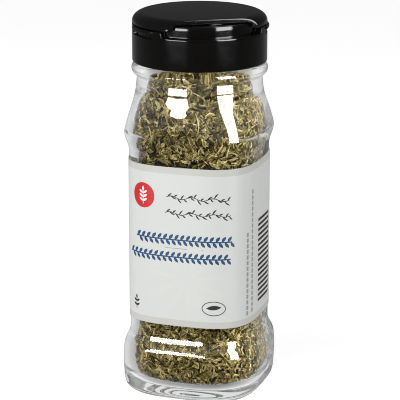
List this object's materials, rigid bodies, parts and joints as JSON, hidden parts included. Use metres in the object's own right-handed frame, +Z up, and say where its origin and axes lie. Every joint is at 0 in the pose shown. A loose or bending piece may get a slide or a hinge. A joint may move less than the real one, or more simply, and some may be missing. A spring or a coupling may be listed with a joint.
{
  "type": "spice jar of dried thyme leaves",
  "caption": "Rounded-square glass spice jar filled with dried thyme leaves, with a wrap-around label and a screw cap whose sifter is covered by a rear-hinged flap.",
  "frame": {"origin": "centre of the jar's footprint, on the plane of its foot ring", "axes": "+Z up along the jar's axis, -Y out of the middle of the label's front panel; the flap's straight front edge faces 33 degrees from -Y towards +X"},
  "size_m": [0.0486, 0.0486, 0.1331],
  "materials": {
    "glass": "gloss",
    "label_paper": "satin",
    "thyme": "matte",
    "liner_board": "matte",
    "cap_plastic": "satin",
    "flap_plastic": "satin"
  },
  "bodies": {
    "jar": {"glass_jar": "glass", "label_wrap": "label_paper", "dried_thyme": "thyme"},
    "liner": {"seal_liner": "liner_board"},
    "cap": {"cap_body": "cap_plastic"},
    "flap": {"cap_flap": "flap_plastic"}
  },
  "joints": [
    {"name": "cap_rise", "type": "slide", "parent": "jar", "child": "liner", "axis": [0, 0, 1], "range_m": [0, 0.0042]},
    {"name": "cap_turn", "type": "hinge", "parent": "liner", "child": "cap", "pos_m": [0, 0, 0.1161], "axis": [0, 0, 1], "range_deg": [0, 360]},
    {"name": "flap_hinge", "type": "hinge", "parent": "cap", "child": "flap", "pos_m": [-0.01253, 0.01929, 0.1291], "axis": [-0.8387, -0.5446, 0], "range_deg": [0, 115]}
  ],
  "couplings": [
    {"joint": "cap_rise", "follows": "cap_turn", "m_per_rad": 0.00066845}
  ]
}
